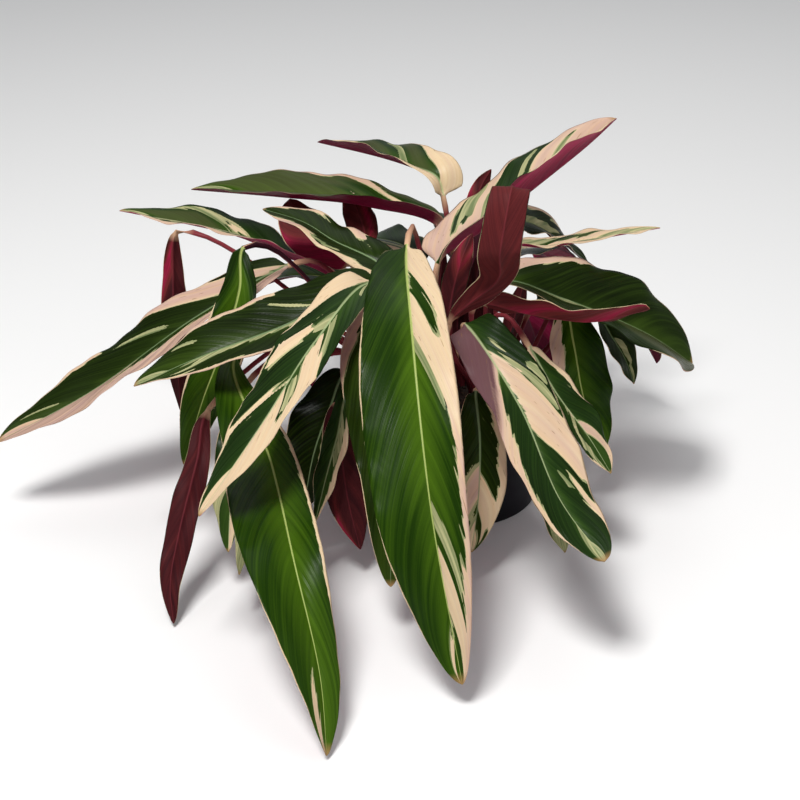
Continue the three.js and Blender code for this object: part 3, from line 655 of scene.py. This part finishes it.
def leaf_tones(leaf, surface, seed):
    """For every point: how far it leans to cream, to pale, to pink, and to light green."""
    if leaf.name.startswith("young"):
        marks = [("deep", *WHOLE)]
    else:
        marks = MARKS.get(leaf.name) or dealt_marks(random.Random(leaf.name))
    tones = np.broadcast_to(np.array(TONES["green"]), (*surface.vein.shape, 4)).copy()
    for tone, *where in marks:
        weight = patch(surface, *where)[..., None]
        tones += weight * (np.array(TONES[tone]) - tones)
    # Near the edge of the leaf the values are stronger than the noise, so that a thin margin stays smooth
    outward = np.abs(surface.v)
    tones[..., :2] *= 1 + EDGE_BOOST * smoothstep(EDGE_START, RIM_START, outward)[:, None]
    comes_and_goes = 0.7 + 0.3 * np.sin(surface.vein / RIM_DRIFT + seed * 5)
    tones[..., 0] += RIM_STRENGTH * comes_and_goes * smoothstep(RIM_START, 1, outward)
    return tones


front_tones = leaf_tones(front_leaf, front_surface, 0)
print(f"cream share of the front leaf's points: {(front_tones[..., 0] > 0).mean():.0%}")

# %% [markdown]
# ## Leaf tissue: what lies where
#
# The pattern could be drawn with the UV map, but a leaf is a tapering shape and its veins run at a slant. So
# each point carries its own numbers instead, in three attributes: its distance along the veins and across, its
# tones, and which face it is on. The noises are drawn in the two distances, so that they stretch along the
# side veins as real streaks do, and what they are added to decides where they cut.

# %% Leaf masks
POINT_NUMBERS = {
    "vein": ("along", "across", "s"), "tone": ("cream", "pale", "pink"), "form": ("under", "stalk", "light")}
STREAK_WIDTH, STREAK_LENGTH = 6 * MM, 20 * MM


def leaf_numbers(tree):
    """Every number that a point of a leaf carries, by name."""
    numbers = {}
    for attribute, parts in POINT_NUMBERS.items():
        split = add(tree, "SeparateXYZ", add(tree, "Attribute", attribute_name=attribute).outputs["Vector"])
        numbers.update(zip(parts, split.outputs))
    return SimpleNamespace(**numbers)


def leaf_masks(tree, leaf):
    """The ragged patches, the midrib, the side veins, and the noise that varies the colours."""
    node = partial(add, tree)
    side = node("Math", leaf.across, 0.0, operation="GREATER_THAN")
    place = node("CombineXYZ",
                 node("Math", leaf.along, 1 / STREAK_WIDTH, operation="MULTIPLY"),
                 node("Math", leaf.across, 1 / STREAK_LENGTH, operation="MULTIPLY"),
                 node("Math", side, 7.0, operation="MULTIPLY"))
    streaks = node("TexNoise", place, links={"Scale": 1.0, "Detail": 2.0, "Roughness": 0.45})
    elsewhere = node("VectorMath", place, (31.0, 5.0, 3.0), operation="ADD")
    other = node("TexNoise", elsewhere, links={"Scale": 0.9, "Detail": 2.0, "Roughness": 0.45})
    broad = node("VectorMath", place, (0.7, 0.25, 1.0), operation="MULTIPLY")
    wide = node("TexNoise", broad, links={"Scale": 1.0, "Detail": 2.0})
    # Fine side veins, drawn about 2 mm apart, twice as far as the real ones so that they show
    hairs = node("VectorMath", place, (3.0, 0.5, 1.0), operation="MULTIPLY")
    veins = node("TexNoise", hairs, links={"Scale": 1.0, "Detail": 2.0, "Roughness": 0.6})

    # Cutting each sum at a sharp edge gives the ragged outline. Pale tissue also fringes some of the cream
    wander = node("Math", node("Math", wide, 0.9, operation="MULTIPLY"), -0.95, operation="ADD")
    cream_sum = node("Math", node("Math", streaks, wander, operation="ADD"), leaf.cream, operation="ADD")
    pale_sum = node("Math", node("Math", other, wander, operation="ADD"), leaf.pale, operation="ADD")
    fringe = node("Math", cream_sum, node("MapRange", wide, 0.35, 0.65, 0.0, 0.3), operation="ADD")
    pale = node("Math", node("MapRange", pale_sum, -0.015, 0.015), node("MapRange", fringe, -0.015, 0.015),
                operation="MAXIMUM")

    # The midrib narrows from about 1.5 mm to a hair at the tip
    from_rib = node("Math", leaf.across, operation="ABSOLUTE")
    rib_width = node("MapRange", leaf.s, 0.0, 1.0, 0.8 * MM, 0.12 * MM)
    rib = node("MapRange", node("Math", from_rib, rib_width, operation="DIVIDE"), 0.5, 1.4, 0.75, 0.0)
    return SimpleNamespace(
        streaks=streaks, other=other, wide=wide, veins=veins, pale=pale, rib=rib, from_rib=from_rib,
        cream=node("MapRange", cream_sum, -0.012, 0.012), calm=node("MapRange", wide, 0.3, 0.7, -0.11, 0.11))


print("numbers on each point:", *(name for names in POINT_NUMBERS.values() for name in names))

# %% [markdown]
# ## Leaf tissue: the upper face
#
# A real leaf gets its colour in layers, and so does this one: green first, lighter beside the midrib and along
# the veins, then a painted grey sheen of the sky where the leaf faces up, then the pale and the cream tissue
# over it, and the midrib on top. Cream turns pink in strong light, and where another leaf shades it, a
# purple-grey shadow is painted on it. Brown specks and a dry tip make it a plant that has lived in a room, and
# not a new one of wax.

# %% Colours of the upper face
SPECK_SPACING = 2.5 * MM


def upper_colour(tree, leaf, mask, greens, rib):
    """The variegated face."""
    node = partial(add, tree)
    dark, middle, light = (colour(green) for green in greens)
    beside_rib = node("MapRange", mask.from_rib, 0.6 * MM, 13 * MM, 0.72, 0.41)
    lightness = node("Math", node("Math", mask.calm, leaf.light, operation="ADD"), beside_rib, operation="ADD")
    shade = node("MixRGB", node("MapRange", lightness, 0.0, 0.5), dark, middle)
    green = node("MixRGB", node("MapRange", lightness, 0.5, 1.0), shade, light)
    veined = node("MixRGB", node("MapRange", mask.veins, 0.45, 0.75, 0.0, 0.24), green, light)
    # Painted sheen: green with a high pink number is painted grey, as the sky's sheen on leaves that face up
    sage = node("MixRGB", node("MapRange", leaf.pink, 0.5, 1.0, 0.0, 0.6), veined, colour("4a4c2e"))
    pale = node("MixRGB", node("MapRange", mask.streaks, 0.35, 0.65), colour("6c784e"), colour("b2ae80"))
    paler = node("MixRGB", mask.pale, sage, pale)

    flush_and_shadow = node("Math", mask.other, leaf.pink, operation="ADD")
    cream = node("MixRGB", node("MapRange", flush_and_shadow, 0.4, 1.3), colour("dac49e"), colour("c2a092"))
    streaky = node("MixRGB", node("MapRange", mask.veins, 0.5, 0.75, 0.0, 0.45), cream, colour("c2ae86"))
    warm = node("MixRGB", node("MapRange", mask.wide, 0.4, 0.7, 0.0, 0.5), streaky, colour("d4b088"))
    # Painted shadow: past the pink, cream is painted purple-grey where another leaf shades it
    shaded = node("MixRGB", node("MapRange", flush_and_shadow, 1.4, 2.1, 0.0, 0.95), warm, colour("5c3c42"))
    spot = node("TexNoise", node("CombineXYZ", leaf.along, leaf.across),
                links={"Scale": 1 / SPECK_SPACING, "Detail": 0.0})
    specked = node("MixRGB", node("MapRange", spot, 0.76, 0.8, 0.0, 0.6), shaded, colour("7d5a3a"))
    patched = node("MixRGB", mask.cream, paler, specked)
    ribbed = node("MixRGB", mask.rib, patched, colour(rib))
    return node("MixRGB", node("MapRange", leaf.s, 0.975, 0.995, 0.0, 0.8), ribbed, colour("a07c50"))


print(f"brown specks about {SPECK_SPACING / MM:.1f} mm apart")

# %% [markdown]
# ## Leaf tissue: the underside
#
# The lower face has a red pigment that hides the green. Under cream tissue the red is brighter, partly as its
# own colour and partly as painted light, as if light shone through the thin cream. It could be a mesh of its
# own with its own material, but then the two would have to be kept together. Both faces are one mesh, and an
# attribute tells them apart.

# %% Colours of the underside
def under_colour(tree, leaf, mask, reds):
    """The crimson face, brighter under the cream patches."""
    node = partial(add, tree)
    dark, middle, vivid = (colour(red) for red in reds)
    # Under cream tissue the red is brighter: partly its own colour, partly painted light shining through
    under_cream = node("MapRange", leaf.cream, NONE, FULL, 0.0, 0.55)
    glow = node("Math", under_cream, node("Math", mask.wide, 0.6, operation="MULTIPLY"), operation="ADD")
    lightness = node("Math", glow, leaf.light, operation="ADD")
    shade = node("MixRGB", node("MapRange", lightness, 0.0, 0.5), dark, middle)
    red = node("MixRGB", node("MapRange", lightness, 0.5, 1.0), shade, vivid)
    streaked = node("MixRGB", node("MapRange", mask.veins, 0.4, 0.75, 0.0, 0.5), red, dark)
    ribbed = node("MixRGB", node("Math", mask.rib, 0.35, operation="MULTIPLY"), streaked, colour("8f3a44"))
    return node("MixRGB", node("MapRange", leaf.s, 0.02, 0.06, 0.8, 0.0), ribbed, colour("cfa886"))


print("a vivid red in linear light:", [round(channel, 2) for channel in colour("c0205a")])

# %% [markdown]
# ## Leaf tissue: the shader
#
# A living leaf has a skin of clear wax over wet green cells, with a refractive index of about 1.4. Its gloss
# is soft, and duller on the underside, and dust dims it further, so the specular level is low. The relief of
# the finest veins is too small for the mesh, so it is a bump, with its height in real millimetres. The stalk
# is red-brown and turns paler towards the knee, and where the base of a leaf is painted dark as shade, its
# stalk is painted a near-black purple as painted shade too.

# %% Leaf material
def leaf_material(name, greens, rib, reds):
    """Waxy leaf tissue: variegated above, crimson below, with a red-brown stalk."""
    material, tree = new_material(name)
    node = partial(add, tree)
    leaf = leaf_numbers(tree)
    mask = leaf_masks(tree, leaf)
    faces = node("MixRGB", node("MapRange", leaf.under, 0.45, 0.55),
                 upper_colour(tree, leaf, mask, greens, rib), under_colour(tree, leaf, mask, reds))
    plain_stalk = node("MixRGB", node("MapRange", leaf.s, -0.10, 0.0), colour("7a2f35"), colour("cfa886"))
    # Painted shade: where the leaf base has the dark tone, the stalk is painted near-black purple
    stalk = node("MixRGB", node("MapRange", leaf.light, -0.3, -0.45), plain_stalk, colour("2c1018"))
    whole = node("MixRGB", node("MapRange", leaf.stalk, 0.4, 0.9), faces, stalk)

    relief = node("Math", node("Math", mask.veins, 0.5, operation="MULTIPLY"), mask.wide, operation="ADD")
    on_blade = node("Math", relief, node("Math", 1.0, leaf.stalk, operation="SUBTRACT"), operation="MULTIPLY")
    bump = node("Bump", links={"Strength": 0.35, "Distance": 0.7 * MM, "Height": on_blade})
    dull = node("Math", leaf.under, node("Math", mask.wide, 0.3, operation="MULTIPLY"), operation="ADD")
    shader = node("BsdfPrincipled", links={
        "Base Color": whole, "Roughness": node("MapRange", dull, 0.0, 1.3, 0.24, 0.6), "IOR": 1.42,
        "Normal": bump, "Metallic": 0.0, "Coat Weight": 0.0, "Specular IOR Level": 0.09})
    node("OutputMaterial", shader)
    return material


# The dark tissue is a darker copy of the green one; on leaves deep inside the plant its darkness is partly
# painted shade
TISSUES = {
    tone: leaf_material("leaf_tissue_" + tone, *colours) for tone, colours in {
        "green": (("0a1a02", "1a3204", "4c6c14"), "b4c070", ("4a1224", "8c1a40", "c0205a")),
        "dark": (("070d02", "1a2806", "40561a"), "7f946a", ("3f1320", "741a36", "b01c4c")),
        "cream": (("0a1206", "1a2e0e", "405c20"), "a3b080", ("5c1430", "981a42", "c0225a")),
        "crimson": (("08140a", "182e14", "3c5a22"), "8fa070", ("341216", "6c2828", "a61844")),
    }.items()}
print("leaf materials:", *TISSUES)

# %% [markdown]
# ## Making the leaves
#
# Each leaf starts as a flat grid, 1 by 1, and its vertices are moved to the skin that the formulas give. The
# long seam is closed by merging doubles, and the two open ends are filled. Every leaf has its own seed, so that
# no two ripple or streak alike.

# %% Leaf pieces
SEED_STEP = 0.61
TOUCHING = 0.001 * MM


def leaf_piece(leaf, seed, *nodes):
    """Builds one leaf, with its numbers on every point."""
    surface = leaf_surface(leaf, seed)
    tones = leaf_tones(leaf, surface, seed)
    rings = len(surface.place)
    bm = bmesh.new()
    bm.loops.layers.uv.new("UVMap")
    vein_layer, tone_layer, form_layer = (bm.verts.layers.float_vector.new(name) for name in POINT_NUMBERS)
    bmesh.ops.create_grid(bm, x_segments=rings - 1, y_segments=AROUND, size=0.5, calc_uvs=True)
    seam = []
    for vert in bm.verts:
        i = round((vert.co.x + 0.5) * (rings - 1))
        k = round((vert.co.y + 0.5) * AROUND)
        vert.co = surface.place[i, k]
        vert[vein_layer] = (surface.vein[i, k] * MM + seed, surface.x[i, k] * MM, surface.s[i])
        vert[tone_layer] = tones[i, k, :3]
        on_stalk = 1.0 if surface.s[i] <= 0 else 0.0
        vert[form_layer] = (1.0 if surface.under[k] and k < AROUND else 0.0, on_stalk, tones[i, k, 3])
        if k in (0, AROUND):
            seam.append(vert)
    bmesh.ops.remove_doubles(bm, verts=seam, dist=TOUCHING)
    bmesh.ops.holes_fill(bm, edges=[e for e in bm.edges if e.is_boundary])
    return finish_piece(bm, "fine_" + leaf.name, TISSUES[leaf.tone], leaf.tone + "_leaf", *nodes)


for number, leaf in enumerate(LEAVES):
    leaf_piece(leaf, SEED_STEP * number, leaf.name)

# %% [markdown]
# ## Young leaves in the crown
#
# The middle of the plant is crowded with young leaves that are still rolled up, which close most of the gaps
# between the stalks. They are too slight for solids of their own, so they are added here only. The same
# function makes them: a narrow blade with a deep fold is a rolled leaf.

# %% Young leaves
YOUNG = {
    "young_1": ((-9, 11), [(-10, 12, 92), (-11, 13, 118), (-10, 16, 140), (-8, 19, 158)]),
    "young_2": ((0, 13), [(0, 13, 90), (1, 14, 112), (-1, 16, 134), (-3, 19, 152)]),
    "young_3": ((8, 11), [(8, 11, 90), (10, 12, 114), (12, 15, 138), (14, 18, 156)]),
    "young_4": ((20, 11), [(19, 11, 90), (20, 11, 110), (20, 13, 126), (19, 15, 142)]),
    "young_5": ((28, 9), [(30, 9, 90), (34, 9, 106), (38, 10, 124), (42, 12, 140)]),
    "young_6": ((-17, 7), [(-20, 7, 90), (-24, 8, 110), (-28, 9, 128), (-33, 11, 144)]),
}
YOUNG_SEED_STEP = 0.37
for number, (name, (root, blade)) in enumerate(YOUNG.items()):
    rolled = Leaf(name, "crimson", root, 12, 270, blade, fold=0.55, base=0.4, wave=0.5)
    leaf_piece(rolled, YOUNG_SEED_STEP * number)
print("young leaves:", len(YOUNG))

# %% [markdown]
# ## The pot
#
# The pot is a cheap nursery pot of black polypropylene, injection moulded: a thin tapered wall, a turned-down
# rim and drain holes in the floor. It is a solid of revolution, so its profile is spun once round the axis.
# The profile starts and ends on the axis, which makes a closed wall with a real thickness. Its corners are
# cut off in the profile itself, because a bevel would follow every edge between two spun steps as well.
#
# The plastic is satin, with fine flow marks from the mould and a few duller, dusty areas.

# %% Pot
POT_HEIGHT, POT_BASE, POT_TOP, POT_WALL, POT_FLOOR = 80, 53, 58, 1.4, 1.6
RIM_RADIUS, RIM_DEPTH, EDGE = 59.5, 8, 1.5


def spun(profile, steps):
    """A bmesh of a profile of (radius, height) pairs in millimetres, turned once about the upright axis."""
    bm = bmesh.new()
    verts = [bm.verts.new((r * MM, 0, z * MM)) for r, z in profile]
    edges = [bm.edges.new(pair) for pair in zip(verts, verts[1:])]
    bmesh.ops.spin(bm, geom=verts + edges, axis=(0, 0, 1), cent=(0, 0, 0), angle=math.tau,
                   steps=steps, use_merge=True)
    bmesh.ops.remove_doubles(bm, verts=bm.verts, dist=TOUCHING)
    return bm


def pot_material():
    """Moulded black polypropylene."""
    material, tree = new_material("moulded_polypropylene")
    place = add(tree, "TexCoord").outputs["Object"]
    grain = add(tree, "TexNoise", place, links={"Scale": 1 / (1.2 * MM), "Detail": 2.0})
    smudge = add(tree, "TexNoise", place, links={"Scale": 1 / (30 * MM), "Detail": 4.0})
    tint = add(tree, "MixRGB", add(tree, "MapRange", smudge, 0.45, 0.75), colour("09080d"), colour("17141c"))
    rough = add(tree, "MapRange", smudge, 0.3, 0.7, 0.38, 0.58)
    bump = add(tree, "Bump", links={"Strength": 0.25, "Distance": 0.2 * MM, "Height": grain})
    shader = add(tree, "BsdfPrincipled", links={
        "Base Color": tint, "Roughness": rough, "IOR": 1.49, "Normal": bump, "Specular IOR Level": 0.15})
    add(tree, "OutputMaterial", shader)
    return material


taper = (POT_TOP - POT_BASE) / POT_HEIGHT
inner = POT_TOP - POT_WALL
rim_bottom = POT_HEIGHT - RIM_DEPTH
pot_profile = [
    (0, 0), (POT_BASE - 3 * EDGE, 0), (POT_BASE - EDGE, 0.2), (POT_BASE - 0.4, 0.6), (POT_BASE, EDGE),
    (POT_TOP - taper * RIM_DEPTH, rim_bottom), (RIM_RADIUS - 0.3, rim_bottom + 0.2),
    (RIM_RADIUS + 0.2, rim_bottom + 0.8), (RIM_RADIUS + EDGE / 2, POT_HEIGHT - EDGE),
    (RIM_RADIUS + 0.5, POT_HEIGHT - 0.5), (RIM_RADIUS, POT_HEIGHT), (inner + EDGE / 2, POT_HEIGHT),
    (inner + 0.2, POT_HEIGHT - 0.4), (inner, POT_HEIGHT - EDGE),
    (POT_BASE - POT_WALL, POT_FLOOR), (0, POT_FLOOR),
]
pot = finish_piece(spun(pot_profile, steps=128), "fine_pot", pot_material(), "pot_plastic", "pot")
print("pot faces:", len(pot.data.polygons))

# %% [markdown]
# ## Drain holes
#
# The drain holes are real holes. A boolean takes eight short pins out of the floor. It is a modifier, so its
# result is copied into the mesh and the pins are deleted. Painting dark discs would be quicker, but a pot that
# is picked up and turned over would show it.

# %% Drain holes
DRAIN_HOLES, DRAIN_RADIUS, DRAIN_CIRCLE = 8, 4.5, 38

pins_bm = bmesh.new()
for k in range(DRAIN_HOLES):
    turn = Matrix.Rotation(math.tau * (k + 0.5) / DRAIN_HOLES, 4, "Z")
    bmesh.ops.create_cone(pins_bm, cap_ends=True, segments=24, radius1=DRAIN_RADIUS * MM,
                          radius2=DRAIN_RADIUS * MM, depth=4 * POT_FLOOR * MM,
                          matrix=turn @ Matrix.Translation((DRAIN_CIRCLE * MM, 0, 0)))
pins = new_object(pins_bm, "pins")
cut = pot.modifiers.new("drain", "BOOLEAN")
cut.object = pins
cut.operation = "DIFFERENCE"
cut.solver = "EXACT"
bored = bpy.data.meshes.new_from_object(pot.evaluated_get(bpy.context.evaluated_depsgraph_get()))
pot.modifiers.clear()
pot.data = bored
bpy.data.objects.remove(pins)
print("pot faces with drain holes:", len(pot.data.polygons))

# %% [markdown]
# ## Potting mix
#
# The mix is damp bark and peat: dark brown and rough, with lighter splinters. One bumpy surface would look
# like mud, so the mound is a spun solid whose top is pushed up and down by noise, and a few hundred loose
# chips lie on it, each a squashed ball with few faces.

# %% Soil
SOIL_TOP, SOIL_MOUND, GAP = 69, 2, 0.35
MOUND_STEPS = 24
ROUGHNESS_HEIGHT, ROUGHNESS_SCALE = 1.2 * MM, 260
CHIPS, CHIP_SIZES, CHIP_MARGIN = 420, (1.2, 3.4), 5


def soil_material():
    """Damp bark and peat, in clumps of 6 mm."""
    material, tree = new_material("bark_and_peat")
    place = add(tree, "TexCoord").outputs["Object"]
    clumps = add(tree, "TexNoise", place, links={"Scale": 1 / (6 * MM), "Detail": 5.0, "Roughness": 0.65})
    damp = add(tree, "MixRGB", add(tree, "MapRange", clumps, 0.3, 0.55), colour("120c09"), colour("2b1d14"))
    tint = add(tree, "MixRGB", add(tree, "MapRange", clumps, 0.55, 0.75), damp, colour("5a4230"))
    bump = add(tree, "Bump", links={"Strength": 0.8, "Distance": 1 * MM, "Height": clumps})
    shader = add(tree, "BsdfPrincipled", links={
        "Base Color": tint, "Roughness": 0.9, "IOR": 1.45, "Normal": bump})
    add(tree, "OutputMaterial", shader)
    return material


def soil_side(z):
    """The radius of the soil at a height, which leaves a small gap to the wall."""
    return POT_BASE - POT_WALL + taper * z - 2 * GAP


def add_chip(bm, rng):
    """One chip of bark: a small ball, squashed, turned at random and half sunk in the mix."""
    made = bmesh.ops.create_icosphere(bm, subdivisions=1, radius=1.0)
    size = rng.uniform(*CHIP_SIZES)
    reach = soil_side(SOIL_TOP) - CHIP_MARGIN
    r, angle = reach * math.sqrt(rng.random()), rng.uniform(0, math.tau)
    turned = rng.uniform(0, math.tau)
    turn = Matrix.Rotation(turned, 4, Vector([rng.gauss(0, 1) for _ in range(3)]).normalized())
    shape = Matrix.Diagonal((size, size * rng.uniform(0.4, 0.8), size * rng.uniform(0.25, 0.5), 1))
    z = SOIL_TOP + SOIL_MOUND * (1 - (r / reach) ** 2) + 0.3
    place = Matrix.Translation((r * math.cos(angle), r * math.sin(angle), z))
    bmesh.ops.transform(bm, matrix=Matrix.Scale(MM, 4) @ place @ turn @ shape, verts=made["verts"])


soil_profile = [(0, POT_FLOOR + GAP), (soil_side(2), POT_FLOOR + GAP), (soil_side(SOIL_TOP), SOIL_TOP - EDGE)]
for k in range(1, MOUND_STEPS + 1):
    share = 1 - k / MOUND_STEPS
    soil_profile.append((soil_side(SOIL_TOP) * share, SOIL_TOP + SOIL_MOUND * (1 - share ** 2)))
soil_bm = spun(soil_profile, steps=96)
for vert in soil_bm.verts:
    if vert.co.z > (SOIL_TOP - EDGE / 2) * MM:
        vert.co.z += ROUGHNESS_HEIGHT * noise.fractal(vert.co * ROUGHNESS_SCALE, 0.6, 2.0, 4)
dice = random.Random(5)
for _ in range(CHIPS):
    add_chip(soil_bm, dice)
soil = finish_piece(soil_bm, "fine_soil", soil_material(), "potting_mix", "soil")
print("soil faces:", len(soil.data.polygons))

# %% [markdown]
# ## Floor
#
# The plant stands on a plain pale floor, matt and nearly white like paint.

# %% Floor
floor_paint, floor_tree = new_material("floor_paint")
paint = add(floor_tree, "BsdfPrincipled", links={"Base Color": colour("f4f3f1"), "Roughness": 0.9})
add(floor_tree, "OutputMaterial", paint)
floor_bm = bmesh.new()
bmesh.ops.create_grid(floor_bm, x_segments=1, y_segments=1, size=4.0)
floor = new_object(floor_bm, "floor", floor_paint)
print("floor width:", floor.dimensions.x, "m")

# %% [markdown]
# ## Light
#
# The main light is a soft square lamp at the upper left, in front, as daylight from a small window would be. A
# weak wide one opposite keeps the shaded side from going black, a third behind the plant picks out the edges
# of the leaves, and a dim even sky fills the rest. One large panorama of a room could do all four jobs, but
# then no single one could be moved.

# %% Lamps and sky
PLANT_MIDDLE = Vector((-0.05, -0.03, 0.12))


def lamp(name, place, power, size):
    """A square area lamp aimed at the middle of the plant."""
    data = bpy.data.lights.new(name, "AREA")
    data.energy = power
    data.size = size
    light = bpy.data.objects.new(name, data)
    light.location = place
    light.rotation_euler = (PLANT_MIDDLE - Vector(place)).to_track_quat("-Z", "Y").to_euler()
    bpy.context.scene.collection.objects.link(light)


lamp("key", (-0.34, -0.66, 1.5), 22.5, 0.4)
lamp("fill", (1.3, -0.9, 0.9), 3, 1.2)
lamp("back", (0.2, 1.0, 1.9), 8, 1.4)

world = bpy.data.worlds.new("studio")
bpy.context.scene.world = world
world.use_nodes = True
sky = world.node_tree.nodes["Background"].inputs
sky["Color"].default_value = colour("f2f5fa")
sky["Strength"].default_value = 0.33
bpy.context.scene.view_settings.view_transform = "Standard"
print("lamps:", *bpy.data.lights.keys())

# %% [markdown]
# ## Last update
#
# The finer pieces have to stay in the box of the imported model. Here the view layer is brought up to date.

# %% Last update
bpy.context.view_layer.update()
